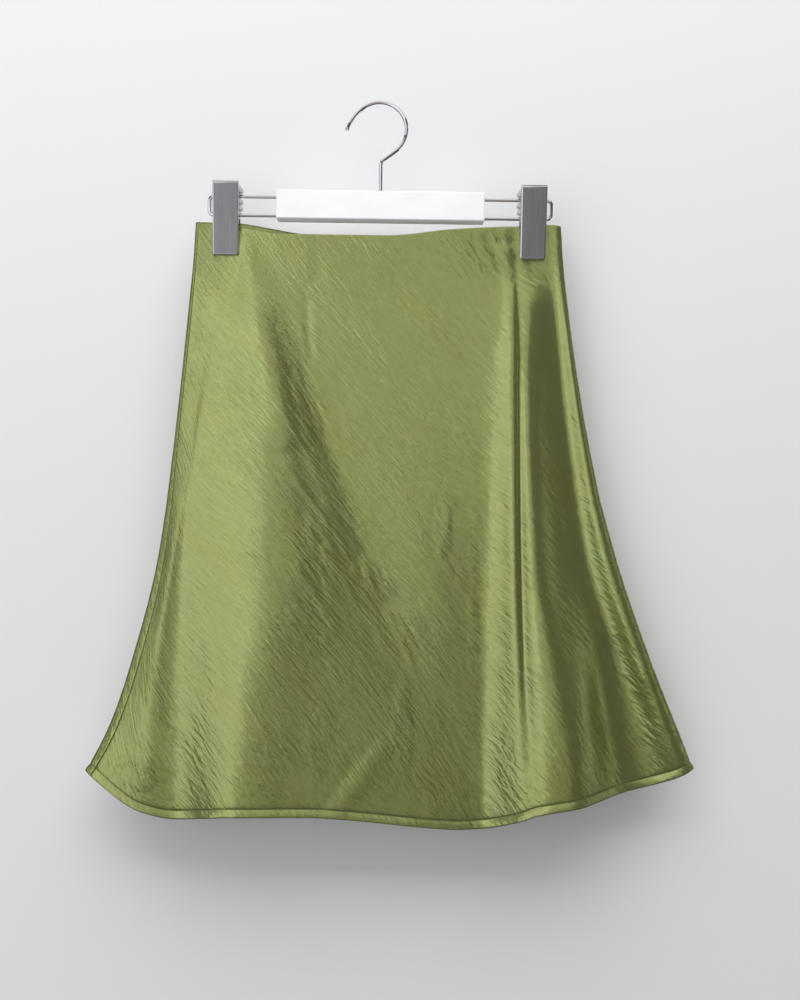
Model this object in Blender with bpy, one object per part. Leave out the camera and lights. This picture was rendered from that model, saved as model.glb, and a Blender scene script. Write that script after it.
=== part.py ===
"""A bias-cut slip skirt in satin, hung flat by its waist from a clip hanger.

The skirt is a front and a back panel that meet at two side seams, with a narrow turned-up hem.
It is open at the waist and at the hem. The hanger is a wooden bar with a wire hook, and a clip on
a U-shaped rod at each end. X is to the right, Y runs away from the viewer, and Z is up. The origin
is the inside top of the hook, where a rail or a peg carries it. Sizes are in millimetres, and are
turned to metres where the meshes are made.
"""

import math
from collections import namedtuple

import bmesh
import bpy
import numpy as np
from mathutils import Matrix, Vector

MM = 0.001

# Cloth
CLOTH_WALL = 1.2
SEAM_GAP = 0.3
HEM_DEPTH = 8.0
HEM_WALL = 1.0
PINCH = 1.4  # half the thickness of the two layers where a clip grips them
PINCHED_ROWS = 2
HANGING_ROWS = 22

# Hanger
HOOK_RADIUS = 25.7
HOOK_WIRE_RADIUS = 1.75
HOOK_LEAVING_ANGLE = -54
HOOK_FLARE_RADIUS = 46.0
HOOK_FLARE_ANGLES = (158, 128)
BEAD_ARC = 3.6
BEAD_SWELL = (0.5, 1.2, 1.4, 1.2)
STEM_X = 1.8
STEM_BEND_RADIUS = 7.0
STEM_SOCKET_DEPTH = 11.0
BAR_SIZE = (196.6, 17.0, 27.0)
BAR_Z = -98.0
BAR_EDGE = 1.0
ROD_RADIUS = 1.7
ROD_Z = (-89.5, -107.3)
ROD_REACH = 162.4
ROD_SOCKET_DEPTH = 42.0
ROD_BEND_RADIUS = 4.2
CLIP_X = (-144.1, 146.6)
CLIP_WIDTH = 24.2
CLIP_TOP_Z = -77.5
CLIP_BOTTOM_Z = -145.9
CLIP_PLATE = 1.2
CLIP_FLANGE = 4.0
CLIP_BEND = 1.0
CLIP_CORNER = 2.2
CLIP_TILT = math.radians(6)
PAD_SIZE = (20.8, 2.4, 8.0)
SADDLE_TOP_Z = -79.5
SADDLE_BOTTOM_Z = -110.7
SADDLE_WEB = 1.4
FIT_GAP = 0.3

# The skirt's cross-section is one ring at each height. The ring passes through fold lines that run
# from the waist to the hem, and these are the shares of the way down at which their places are given.
STATIONS = (0.0, 0.065, 0.15, 0.35, 0.6, 0.8, 0.92, 1.0)

# waist, hem: the height of the line's two ends
# steps:      columns of faces from this line to the next
# across:     how far right of the hook the line runs, at each station
# forward:    how far it stands in front of the hook's plane, at each station (behind is negative)
Fold = namedtuple("Fold", "name waist hem steps across forward")

FRONT_FOLDS = (
    Fold("left seam", -115.1, -641, 3,
         (-170.6, -172.2, -175.5, -185, -197.8, -221.2, -242.3, -265), (1.8, 1.8, 2.6, 3.4, 5, 6, 6, 4.6)),
    Fold("left hip", -116.5, -672, 3,
         (-159, -159, -161, -171, -191, -206, -212, -216), (PINCH, PINCH, 4, 8, 12, 14, 13.5, 13)),
    Fold("left tuck", -118, -679, 3,
         (-133.5, -134, -144, -167, -181, -183, -183, -181), (PINCH, PINCH, 6, 10, 11, 12, 11.5, 11)),
    Fold("left flute", -120, -670.8, 3,
         (-125, -124, -118, -101, -100, -114, -120, -124), (2.2, 2.6, 9, 18, 26, 31, 32.5, 33)),
    Fold("flute foot", -123, -671.3, 3,
         (-108, -105, -95, -66, -40, -46, -52, -57), (3.6, 4, 6.5, 12.5, 18.5, 24, 26, 27)),
    Fold("bias trough", -125, -682.2, 4,
         (-93, -88, -73, -39, 12, 46, 54, 58), (4.6, 4.8, 5, 8, 12, 16, 17.5, 18)),
    Fold("centre", -125.6, -684, 3,
         (6, 10, 17, 35, 60, 79, 83, 85), (6, 6, 7, 10, 14, 14, 14.5, 15)),
    Fold("right trough", -118.8, -683.2, 4,
         (68, 72, 85, 98, 100, 103, 104, 105), (5, 5.5, 8, 12, 13, 13, 13, 13)),
    Fold("right flute, near side", -114.9, -669, 2,
         (123, 124, 127, 129, 132, 137, 141, 144), (2.4, 2.8, 11, 18, 24, 29, 32, 34)),
    Fold("groove", -114.7, -664.5, 2,
         (131, 132, 133.5, 135, 138, 143, 149, 153), (1.5, 1.6, 9, 15, 20, 28, 33, 36.4)),
    Fold("right flute, far side", -114.4, -661, 5,
         (136, 136.5, 140, 142, 149, 156, 161, 165), (PINCH, PINCH, 9.5, 17, 25, 32, 35.6, 38)),
    Fold("deep trough", -112.5, -643.5, 4,
         (161, 162, 168, 180, 202, 236, 254, 266), (PINCH, PINCH, 3, 3, 2, 2, 2, 2)),
    Fold("right hip", -112.8, -631, 3,
         (168, 170.5, 176.3, 191.5, 218, 254.4, 278.8, 295.6), (1.9, 2.4, 5, 8, 10, 11, 10, 9)),
    Fold("right turn", -113.5, -626, 2,
         (173.6, 176, 181.2, 197.6, 226.6, 262.4, 288.4, 305.6), (0, 0, 1, 2, 3, 4, 3.5, 3)),
)
BACK_FOLDS = (
    Fold("right seam", -113.5, -627, 3,
         (172.4, 174.7, 179.7, 196, 224.8, 260.4, 285.9, 303.2), (-1.8, -2, -2, -2, -1.5, -1, -1.5, -2)),
    Fold("back right hip", -112.8, -631, 3,
         (167, 169, 174, 188, 215, 248, 272, 288), (-2.2, -2.4, -5, -9, -12, -13, -12.5, -12)),
    Fold("back right tuck", -112.5, -649.5, 3,
         (161, 162, 164, 170, 186, 204, 216, 224), (-PINCH, -PINCH, -4, -6, -8, -8, -8, -8)),
    Fold("back right flute", -114, -667.5, 4,
         (135, 135, 132, 130, 132, 136, 139, 142), (-PINCH, -PINCH, -5, -11, -16, -18, -18.6, -19)),
    Fold("back centre trough", -121.1, -679.5, 4,
         (58, 58, 58, 56, 50, 42, 37, 34), (-4.6, -4.8, -5, -7, -8, -8, -7.5, -7)),
    Fold("back centre flute", -126.1, -679.5, 4,
         (-42, -42, -44, -48, -54, -60, -62, -64), (-5, -5.6, -7, -12, -17, -19, -19.6, -20)),
    Fold("back left tuck", -115, -671.5, 3,
         (-133, -133, -134, -136, -140, -144, -146, -148), (-PINCH, -PINCH, -4, -6, -8, -8, -7.5, -7)),
    Fold("back left flute", -114.5, -659.5, 3,
         (-159, -159, -164, -172, -184, -198, -207, -214), (-PINCH, -PINCH, -5, -10, -14, -16, -16.6, -17)),
    Fold("back left hip", -114.1, -642, 2,
         (-169.5, -171.7, -175.1, -184.2, -199.8, -223.2, -243.3, -261.4), (-2.2, -2.4, -3.6, -5, -6, -6, -6, -6.4)),
    Fold("left turn", -114.3, -637, 2,
         (-173.6, -175.2, -179, -188.6, -204.2, -229, -249.8, -271), (-0.4, -0.4, -0.4, 0, 0.6, 1, 0.4, -1)),
)


# ---------------------------------------------------------------- smooth curves through a few values
def slopes_through(places, values):
    """Slopes that keep a curve through the values from overshooting (Fritsch and Carlson's means)."""
    widths = np.diff(places)
    rises = np.diff(values, axis=0) / widths[:, None]
    slopes = np.zeros_like(values)
    slopes[0], slopes[-1] = rises[0], rises[-1]
    for i in range(1, len(places) - 1):
        before, after = rises[i - 1], rises[i]
        weight_before = 2 * widths[i] + widths[i - 1]
        weight_after = widths[i] + 2 * widths[i - 1]
        same_way = before * after > 0
        safe_before = np.where(same_way, before, 1)
        safe_after = np.where(same_way, after, 1)
        mean = (weight_before + weight_after) / (weight_before / safe_before + weight_after / safe_after)
        slopes[i] = np.where(same_way, mean, 0)
    return slopes


def curve_through(places, values, wanted):
    """The values, one row for each place, read at the wanted places along a smooth curve."""
    places = np.asarray(places, float)
    values = np.asarray(values, float)
    slopes = slopes_through(places, values)
    span = np.clip(np.searchsorted(places, wanted, side="right") - 1, 0, len(places) - 2)
    width = (places[span + 1] - places[span])[:, None]
    share = ((wanted - places[span]) / width[:, 0])[:, None]
    rest = 1 - share
    start_value = values[span] * (1 + 2 * share) * rest**2
    end_value = values[span + 1] * (1 + 2 * rest) * share**2
    start_slope = slopes[span] * width * share * rest**2
    end_slope = slopes[span + 1] * width * share**2 * rest
    return start_value + end_value + start_slope - end_slope


# ---------------------------------------------------------------- the skirt's rings
RING_FOLDS = FRONT_FOLDS + BACK_FOLDS
WRAP = 2  # fold lines repeated past each end of the list, so that the ring closes smoothly
FRONT_COLUMNS = sum(fold.steps for fold in FRONT_FOLDS)
BACK_COLUMNS = sum(fold.steps for fold in BACK_FOLDS)
RING_COLUMNS = FRONT_COLUMNS + BACK_COLUMNS


def fold_columns():
    """The column at which each fold line stands, with the lines that wrap round at both ends."""
    starts = np.cumsum([0] + [fold.steps for fold in RING_FOLDS[:-1]])
    before = starts[-WRAP:] - RING_COLUMNS
    after = starts[:WRAP] + RING_COLUMNS
    return np.concatenate([before, starts, after]).astype(float)


def wrapped(values):
    """Values of the fold lines, with those that wrap round at both ends."""
    return np.concatenate([values[-WRAP:], values, values[:WRAP]])


def ring_points(share_down, columns):
    """Outer points of the ring at one share of the way from the waist to the hem, in mm."""
    at = np.array([share_down])
    places = []
    for fold in RING_FOLDS:
        table = np.column_stack([fold.across, fold.forward])
        across, forward = curve_through(STATIONS, table, at)[0]
        height = fold.waist + (fold.hem - fold.waist) * share_down
        places.append((across, -forward, height))
    return curve_through(fold_columns(), wrapped(np.array(places)), columns)


def ring_directions(share_down, columns):
    """Unit directions along the ring, and out of the cloth, at each column."""
    nudge = 0.02
    along = ring_points(share_down, columns + nudge) - ring_points(share_down, columns - nudge)
    above = max(share_down - nudge, 0)
    below = min(share_down + nudge, 1)
    down = ring_points(below, columns) - ring_points(above, columns)
    outward = np.cross(down, along)
    return unit_rows(along), unit_rows(outward)


def unit_rows(vectors):
    return vectors / np.linalg.norm(vectors, axis=1)[:, None]


def panel_grid(first_column, last_column, shares, depth):
    """Points of a panel from seam to seam, depth mm inside the ring. One row for each share down."""
    columns = np.arange(first_column, last_column + 1, dtype=float)
    rows = []
    for share_down in shares:
        along, outward = ring_directions(share_down, columns)
        points = ring_points(share_down, columns) - outward * depth
        points[0] += along[0] * SEAM_GAP / 2
        points[-1] -= along[-1] * SEAM_GAP / 2
        rows.append(points)
    return np.array(rows)


# ---------------------------------------------------------------- solids
def principled(name, colour, roughness, metallic=0.0):
    material = bpy.data.materials.new(name)
    material.use_nodes = True
    shader = material.node_tree.nodes["Principled BSDF"]
    shader.inputs["Base Color"].default_value = (*colour, 1)
    shader.inputs["Roughness"].default_value = roughness
    shader.inputs["Metallic"].default_value = metallic
    return material


def add_object(name, data, material):
    data.materials.append(material)
    thing = bpy.data.objects.new(name, data)
    bpy.context.scene.collection.objects.link(thing)
    return thing


def wall_between(name, outer, inner, material):
    """A closed cloth wall between two grids of points, in mm."""
    rows, columns = outer.shape[:2]
    shape = bmesh.new()
    out = [[shape.verts.new(Vector(point) * MM) for point in row] for row in outer]
    back = [[shape.verts.new(Vector(point) * MM) for point in row] for row in inner]
    for r in range(rows - 1):
        for c in range(columns - 1):
            shape.faces.new((out[r][c], out[r + 1][c], out[r + 1][c + 1], out[r][c + 1]))
            shape.faces.new((back[r][c + 1], back[r + 1][c + 1], back[r + 1][c], back[r][c]))
        shape.faces.new((back[r][0], back[r + 1][0], out[r + 1][0], out[r][0]))
        shape.faces.new((out[r][-1], out[r + 1][-1], back[r + 1][-1], back[r][-1]))
    for c in range(columns - 1):
        shape.faces.new((out[0][c], out[0][c + 1], back[0][c + 1], back[0][c]))
        shape.faces.new((back[-1][c], back[-1][c + 1], out[-1][c + 1], out[-1][c]))
    return finished(name, shape, material)


def finished(name, shape, material, smooth_angle=40):
    """An object of the bmesh, shaded smooth across its shallow edges."""
    bmesh.ops.recalc_face_normals(shape, faces=shape.faces)
    mesh = bpy.data.meshes.new(name)
    shape.to_mesh(mesh)
    shape.free()
    mesh.shade_smooth()
    mesh.set_sharp_from_angle(angle=math.radians(smooth_angle))
    return add_object(name, mesh, material)


def block(centre, size):
    """A bmesh box, sizes in mm."""
    shape = bmesh.new()
    bmesh.ops.create_cube(shape, size=1)
    bmesh.ops.scale(shape, vec=Vector(size) * MM, verts=shape.verts)
    bmesh.ops.translate(shape, vec=Vector(centre) * MM, verts=shape.verts)
    return shape


def bevel(shape, edges, offset, segments):
    bmesh.ops.bevel(shape, geom=edges, offset=offset * MM, segments=segments, profile=0.5, affect="EDGES")


def cut(target, name, tool_shape):
    """Takes the bmesh's shape out of the target."""
    tool = finished(name, tool_shape, target.data.materials[0])
    tool.hide_render = True
    tool.display_type = "WIRE"
    modifier = target.modifiers.new(name, "BOOLEAN")
    modifier.operation = "DIFFERENCE"
    modifier.solver = "EXACT"
    modifier.object = tool


def bore(target, name, start, end, radius, sides=16):
    """Cuts a round hole from start to end, in mm."""
    start, end = Vector(start), Vector(end)
    shape = bmesh.new()
    bmesh.ops.create_cone(
        shape,
        cap_ends=True,
        segments=sides,
        radius1=radius * MM,
        radius2=radius * MM,
        depth=(end - start).length * MM,
    )
    turn = Vector((0, 0, 1)).rotation_difference(end - start).to_matrix().to_4x4()
    place = Matrix.Translation((start + end) / 2 * MM) @ turn
    bmesh.ops.transform(shape, matrix=place, verts=shape.verts)
    cut(target, name, shape)


def wire(name, points, radius, material, swell=None):
    """A round wire along the points, in mm. swell gives each point's share of the radius."""
    curve = bpy.data.curves.new(name, "CURVE")
    curve.dimensions = "3D"
    curve.bevel_depth = radius * MM
    curve.bevel_resolution = 2
    curve.use_fill_caps = True
    line = curve.splines.new("POLY")
    line.points.add(len(points) - 1)
    for i, (point, place) in enumerate(zip(line.points, points)):
        point.co = (*(Vector(place) * MM), 1)
        point.radius = swell[i] if swell else 1
    line.use_smooth = True
    return add_object(name, curve, material)


def arc(centre, radius, first_angle, last_angle, steps):
    """Points on an arc in the hanger's plane (degrees, from +X towards +Z)."""
    points = []
    for i in range(steps + 1):
        angle = math.radians(first_angle + (last_angle - first_angle) * i / steps)
        points.append((centre[0] + radius * math.cos(angle), 0, centre[1] + radius * math.sin(angle)))
    return points


# ---------------------------------------------------------------- sub-parts
def make_skirt(satin):
    """Two panels and the hem allowance turned up inside each."""
    longest = max(fold.waist - fold.hem for fold in RING_FOLDS)
    hem_share = 1 - HEM_DEPTH / longest
    pinched = np.linspace(0, STATIONS[1], PINCHED_ROWS + 1)
    hanging = np.linspace(STATIONS[1], hem_share, HANGING_ROWS + 1)
    shares = [*pinched[:-1], *hanging, 1.0]
    spans = {"front": (0, FRONT_COLUMNS), "back": (FRONT_COLUMNS, RING_COLUMNS)}
    for side, (first, last) in spans.items():
        outer = panel_grid(first, last, shares, 0)
        inner = panel_grid(first, last, shares, CLOTH_WALL)
        wall_between(side + "_panel", outer, inner, satin)
        hem_face = CLOTH_WALL + SEAM_GAP
        hem_outer = panel_grid(first, last, [hem_share, 1.0], hem_face)
        hem_inner = panel_grid(first, last, [hem_share, 1.0], hem_face + HEM_WALL)
        wall_between(side + "_hem", hem_outer, hem_inner, satin)


def make_hook(steel):
    """Question-mark hook: a beaded tip, a flatter arc, the bow, a slant, and a bend into the stem."""
    centre = (0, HOOK_WIRE_RADIUS - HOOK_RADIUS)
    tip_angle, bow_angle = HOOK_FLARE_ANGLES
    flare_from_bow = HOOK_RADIUS - HOOK_FLARE_RADIUS
    flare_centre = (
        centre[0] + flare_from_bow * math.cos(math.radians(bow_angle)),
        centre[1] + flare_from_bow * math.sin(math.radians(bow_angle)),
    )
    bead = arc(flare_centre, HOOK_FLARE_RADIUS, tip_angle + BEAD_ARC, tip_angle, len(BEAD_SWELL) - 1)
    flare = arc(flare_centre, HOOK_FLARE_RADIUS, tip_angle - 1, bow_angle, 6)
    bow = arc(centre, HOOK_RADIUS, bow_angle, HOOK_LEAVING_ANGLE, 26)[1:]
    slant = math.radians(HOOK_LEAVING_ANGLE)
    slant_way = Vector((math.sin(slant), 0, -math.cos(slant)))
    leaving = Vector(bow[-1])
    corner = leaving + slant_way * ((STEM_X - leaving.x) / slant_way.x)
    bend_reach = STEM_BEND_RADIUS * math.tan(-slant / 2)
    bend_centre = (STEM_X + STEM_BEND_RADIUS, corner.z - bend_reach)
    bend = arc(bend_centre, STEM_BEND_RADIUS, 180 + HOOK_LEAVING_ANGLE, 180, 6)
    stem_end = (STEM_X, 0, BAR_Z + BAR_SIZE[2] / 2 - STEM_SOCKET_DEPTH)
    points = flare + bow + bend + [stem_end]
    wire("hook", bead + points, HOOK_WIRE_RADIUS, steel, swell=[*BEAD_SWELL] + [1] * len(points))


def make_bar(painted_wood):
    """Wooden bar with two blind bores in each end for the rods, and a socket for the stem."""
    shape = block((STEM_X, 0, BAR_Z), BAR_SIZE)
    bevel(shape, shape.edges, BAR_EDGE, 2)
    bar = finished("bar", shape, painted_wood)
    past_face = 5
    for side, outward in (("left", -1), ("right", 1)):
        bar_end = BAR_SIZE[0] / 2
        for place, z in zip(("upper", "lower"), ROD_Z):
            start = (STEM_X + outward * (bar_end - ROD_SOCKET_DEPTH - FIT_GAP), 0, z)
            end = (STEM_X + outward * (bar_end + past_face), 0, z)
            bore(bar, f"{side}_{place}_bore", start, end, ROD_RADIUS + FIT_GAP)
    top = BAR_Z + BAR_SIZE[2] / 2
    start = (STEM_X, 0, top - STEM_SOCKET_DEPTH - FIT_GAP)
    end = (STEM_X, 0, top + past_face)
    bore(bar, "stem_socket", start, end, HOOK_WIRE_RADIUS + FIT_GAP)


def make_rod(side, outward, steel):
    """A U-shaped rod, set in one end of the bar, that carries one clip. outward is -1 or 1."""
    inner = STEM_X + outward * (BAR_SIZE[0] / 2 - ROD_SOCKET_DEPTH)
    bend_x = STEM_X + outward * (ROD_REACH - ROD_BEND_RADIUS)
    quarter_turn = 90 * outward
    upper = arc((bend_x, ROD_Z[0] - ROD_BEND_RADIUS), ROD_BEND_RADIUS, 90, 90 - quarter_turn, 5)
    lower_centre = (bend_x, ROD_Z[1] + ROD_BEND_RADIUS)
    lower = arc(lower_centre, ROD_BEND_RADIUS, 90 - quarter_turn, 90 - 2 * quarter_turn, 5)
    points = [(inner, 0, ROD_Z[0])] + upper + lower + [(inner, 0, ROD_Z[1])]
    wire(side + "_rod", points, ROD_RADIUS, steel)


def jaw_shape(height):
    """A pressed steel tray with its mouth at y = 0, its face in front, and its lower edge at z = 0."""
    shape = block((0, -CLIP_FLANGE / 2, height / 2), (CLIP_WIDTH, CLIP_FLANGE, height))
    feet = [edge for edge in shape.edges if all(vert.co.z < MM for vert in edge.verts)]
    corners = [edge for edge in feet if abs(edge.verts[0].co.x - edge.verts[1].co.x) < MM]
    bevel(shape, corners, CLIP_CORNER, 3)
    middle_y = -CLIP_FLANGE / 2 * MM
    rim = [edge for edge in shape.edges if all(vert.co.y < middle_y for vert in edge.verts)]
    bevel(shape, rim, CLIP_BEND, 2)
    return shape


def stand_on_cloth(shape, clip_x, facing):
    """Leans a jaw's part outwards and sets it on the cloth. facing is -1 in front, 1 behind."""
    turn = Matrix.Rotation(math.pi * (facing > 0), 4, "Z")
    lean = Matrix.Rotation(-facing * CLIP_TILT, 4, "X")
    seat = Vector((clip_x, facing * (PINCH + FIT_GAP), CLIP_BOTTOM_Z))
    bmesh.ops.transform(shape, matrix=Matrix.Translation(seat * MM) @ lean @ turn, verts=shape.verts)
    return shape


def make_jaw(name, clip_x, facing, steel, rubber):
    """One jaw and the rubber pad in its tray."""
    height = (CLIP_TOP_Z - CLIP_BOTTOM_Z) / math.cos(CLIP_TILT)
    jaw = finished(name + "_jaw", stand_on_cloth(jaw_shape(height), clip_x, facing), steel, 30)
    inside = (CLIP_WIDTH - 2 * CLIP_PLATE, 2 * (CLIP_FLANGE - CLIP_PLATE), height - 2 * CLIP_PLATE)
    cut(jaw, name + "_tray", stand_on_cloth(block((0, 0, height / 2), inside), clip_x, facing))
    pad_z = CLIP_PLATE + FIT_GAP + PAD_SIZE[2] / 2
    pad = block((0, -PAD_SIZE[1] / 2, pad_z), PAD_SIZE)
    finished(name + "_pad", stand_on_cloth(pad, clip_x, facing), rubber, 30)


def saddle_shape(clip_x, width, top):
    """A block between the jaws that widens upwards as they lean apart."""
    shape = block((0, 0, 0), (1, 1, 1))
    for vert in shape.verts:
        z = top if vert.co.z > 0 else SADDLE_BOTTOM_Z
        jaw_mouth = PINCH + FIT_GAP + (z - CLIP_BOTTOM_Z) * math.tan(CLIP_TILT)
        x = clip_x + math.copysign(width / 2, vert.co.x)
        y = math.copysign(jaw_mouth - 2 * FIT_GAP, vert.co.y)
        vert.co = Vector((x, y, z)) * MM
    return shape


def make_clip(side, clip_x, brushed, bright, rubber):
    """Two jaws with rubber pads, and the saddle between them that slides on the rod."""
    make_jaw(side + "_clip_front", clip_x, -1, brushed, rubber)
    make_jaw(side + "_clip_back", clip_x, 1, brushed, rubber)
    saddle = finished(side + "_clip_saddle", saddle_shape(clip_x, CLIP_WIDTH, SADDLE_TOP_Z), bright)
    under = saddle_shape(clip_x, CLIP_WIDTH - 2 * SADDLE_WEB, SADDLE_TOP_Z - SADDLE_WEB)
    bmesh.ops.scale(under, vec=(1, 2, 1), verts=under.verts)
    bmesh.ops.translate(under, vec=(0, 0, -SADDLE_WEB * MM), verts=under.verts)
    cut(saddle, side + "_saddle_hollow", under)
    for place, z in zip(("upper", "lower"), ROD_Z):
        start = (clip_x - CLIP_WIDTH, 0, z)
        end = (clip_x + CLIP_WIDTH, 0, z)
        bore(saddle, f"{side}_{place}_eye", start, end, ROD_RADIUS + FIT_GAP, sides=12)


def main():
    for thing in list(bpy.data.objects):
        bpy.data.objects.remove(thing)
    satin = principled("green satin", (0.29, 0.33, 0.12), 0.35)
    bright = principled("bright steel", (0.62, 0.62, 0.64), 0.25, 1.0)
    brushed = principled("brushed steel", (0.36, 0.36, 0.37), 0.4, 1.0)
    painted_wood = principled("white painted wood", (0.9, 0.9, 0.91), 0.35)
    rubber = principled("dark rubber", (0.05, 0.05, 0.05), 0.7)
    make_skirt(satin)
    make_hook(bright)
    make_bar(painted_wood)
    for side, outward, clip_x in zip(("left", "right"), (-1, 1), CLIP_X):
        make_rod(side, outward, bright)
        make_clip(side, clip_x, brushed, bright, rubber)


main()
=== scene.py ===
import math

import bmesh
import bpy
import numpy as np
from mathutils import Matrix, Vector, noise


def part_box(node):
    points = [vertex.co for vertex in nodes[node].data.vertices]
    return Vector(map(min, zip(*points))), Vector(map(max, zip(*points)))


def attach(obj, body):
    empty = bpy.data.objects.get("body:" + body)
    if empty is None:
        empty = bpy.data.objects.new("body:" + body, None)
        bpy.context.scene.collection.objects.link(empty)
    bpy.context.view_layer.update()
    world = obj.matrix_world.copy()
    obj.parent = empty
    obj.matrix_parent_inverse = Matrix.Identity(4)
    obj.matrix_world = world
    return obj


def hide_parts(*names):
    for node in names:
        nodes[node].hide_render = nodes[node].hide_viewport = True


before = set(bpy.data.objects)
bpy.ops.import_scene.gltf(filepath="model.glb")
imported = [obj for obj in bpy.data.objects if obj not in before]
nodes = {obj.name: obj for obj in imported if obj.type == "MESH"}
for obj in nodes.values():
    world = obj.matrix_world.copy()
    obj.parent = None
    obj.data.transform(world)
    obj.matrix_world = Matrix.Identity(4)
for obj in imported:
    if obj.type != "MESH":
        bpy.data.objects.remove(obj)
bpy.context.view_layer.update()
mm = 0.001

skirtShape = {
    # shares of the way down from waist to hem at which the fold lines' places are given
    "stations": (0.0, 0.065, 0.15, 0.35, 0.6, 0.8, 0.92, 1.0),
    "ringRows": 53,
    "kneeRow": 34,  # the row along which the cloth's columns are evenly spaced
    "stepPoints": 3,  # points of the ring for each step between fold lines
    "wrapSteps": 2,  # steps that the ring's rows run on past their start and end
    "frontFineness": (236, 178),  # columns and rows of the front cloth
    "backFineness": (180, 140),
    # the rest is in mm
    "clothThickness": 0.8,
    "edgeRoll": 1.1,  # radius of the rolled edges at the waist and the hem
    "seamRoll": 0.9,
    "hemDepth": 8.0,  # from the hem's edge up to its stitching
    "hemPuff": 1.25,  # how far the hem's band stands out near its lower edge
    "hemPuffLength": 24,  # along the hem, over which that changes
    "hemLiningGap": 0.35,  # between the cloth and its turned-up edge
    "hemTurnUpPast": 1.4,  # how far the turned-up edge runs on above the stitching
    "stitchGroove": 0.6,  # how far the stitching pulls the cloth in
    "stitchGrooveFade": 1.3,  # how far above the stitching that is felt
}

# name, waist height, hem height, steps to the next line, mm right of the hook, mm in front of it
frontFolds = (
    ("left seam", -115.1, -641, 3,
     (-170.6, -172.2, -175.5, -185, -197.8, -221.2, -242.3, -265), (1.8, 1.8, 2.6, 3.4, 5, 6, 6, 4.6)),
    ("left hip", -116.5, -672, 3,
     (-159, -159, -161, -171, -191, -206, -212, -216), (1.4, 1.4, 4, 8, 12, 14, 13.5, 13)),
    ("left tuck", -118, -679, 3,
     (-133.5, -134, -144, -167, -181, -183, -183, -181), (1.4, 1.4, 6, 10, 11, 12, 11.5, 11)),
    ("left flute", -120, -670.8, 3,
     (-125, -124, -118, -101, -100, -114, -120, -124), (2.2, 2.6, 9, 18, 26, 31, 32.5, 33)),
    ("flute foot", -123, -671.3, 3,
     (-108, -105, -95, -66, -40, -46, -52, -57), (3.6, 4, 6.5, 12.5, 18.5, 24, 26, 27)),
    ("bias trough", -125, -682.2, 4,
     (-93, -88, -73, -39, 12, 46, 54, 58), (4.6, 4.8, 5, 8, 12, 16, 17.5, 18)),
    ("centre", -125.6, -684, 3,
     (6, 10, 17, 35, 60, 79, 83, 85), (6, 6, 7, 10, 14, 14, 14.5, 15)),
    ("right trough", -118.8, -683.2, 4,
     (68, 72, 85, 98, 100, 103, 104, 105), (5, 5.5, 8, 12, 13, 13, 13, 13)),
    ("right flute, near side", -114.9, -669, 2,
     (123, 124, 127, 129, 132, 137, 141, 144), (2.4, 2.8, 11, 18, 24, 29, 32, 34)),
    ("groove", -114.7, -664.5, 2,
     (131, 132, 133.5, 135, 138, 143, 149, 153), (1.5, 1.6, 9, 15, 20, 28, 33, 36.4)),
    ("right flute, far side", -114.4, -661, 5,
     (136, 136.5, 140, 142, 149, 156, 161, 165), (1.4, 1.4, 9.5, 17, 25, 32, 35.6, 38)),
    ("deep trough", -112.5, -643.5, 4,
     (161, 162, 168, 180, 202, 236, 254, 266), (1.4, 1.4, 3, 3, 2, 2, 2, 2)),
    ("right hip", -112.8, -631, 3,
     (168, 170.5, 176.3, 191.5, 218, 254.4, 278.8, 295.6), (1.9, 2.4, 5, 8, 10, 11, 10, 9)),
    ("right turn", -113.5, -626, 2,
     (173.6, 176, 181.2, 197.6, 226.6, 262.4, 288.4, 305.6), (0, 0, 1, 2, 3, 4, 3.5, 3)),
)
backFolds = (
    ("right seam", -113.5, -627, 3,
     (172.4, 174.7, 179.7, 196, 224.8, 260.4, 285.9, 303.2), (-1.8, -2, -2, -2, -1.5, -1, -1.5, -2)),
    ("back right hip", -112.8, -631, 3,
     (167, 169, 174, 188, 215, 248, 272, 288), (-2.2, -2.4, -5, -9, -12, -13, -12.5, -12)),
    ("back right tuck", -112.5, -649.5, 3,
     (161, 162, 164, 170, 186, 204, 216, 224), (-1.4, -1.4, -4, -6, -8, -8, -8, -8)),
    ("back right flute", -114, -667.5, 4,
     (135, 135, 132, 130, 132, 136, 139, 142), (-1.4, -1.4, -5, -11, -16, -18, -18.6, -19)),
    ("back centre trough", -121.1, -679.5, 4,
     (58, 58, 58, 56, 50, 42, 37, 34), (-4.6, -4.8, -5, -7, -8, -8, -7.5, -7)),
    ("back centre flute", -126.1, -679.5, 4,
     (-42, -42, -44, -48, -54, -60, -62, -64), (-5, -5.6, -7, -12, -17, -19, -19.6, -20)),
    ("back left tuck", -115, -671.5, 3,
     (-133, -133, -134, -136, -140, -144, -146, -148), (-1.4, -1.4, -4, -6, -8, -8, -7.5, -7)),
    ("back left flute", -114.5, -659.5, 3,
     (-159, -159, -164, -172, -184, -198, -207, -214), (-1.4, -1.4, -5, -10, -14, -16, -16.6, -17)),
    ("back left hip", -114.1, -642, 2,
     (-169.5, -171.7, -175.1, -184.2, -199.8, -223.2, -243.3, -261.4), (-2.2, -2.4, -3.6, -5, -6, -6, -6, -6.4)),
    ("left turn", -114.3, -637, 2,
     (-173.6, -175.2, -179, -188.6, -204.2, -229, -249.8, -271), (-0.4, -0.4, -0.4, 0, 0.6, 1, 0.4, -1)),
)

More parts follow.
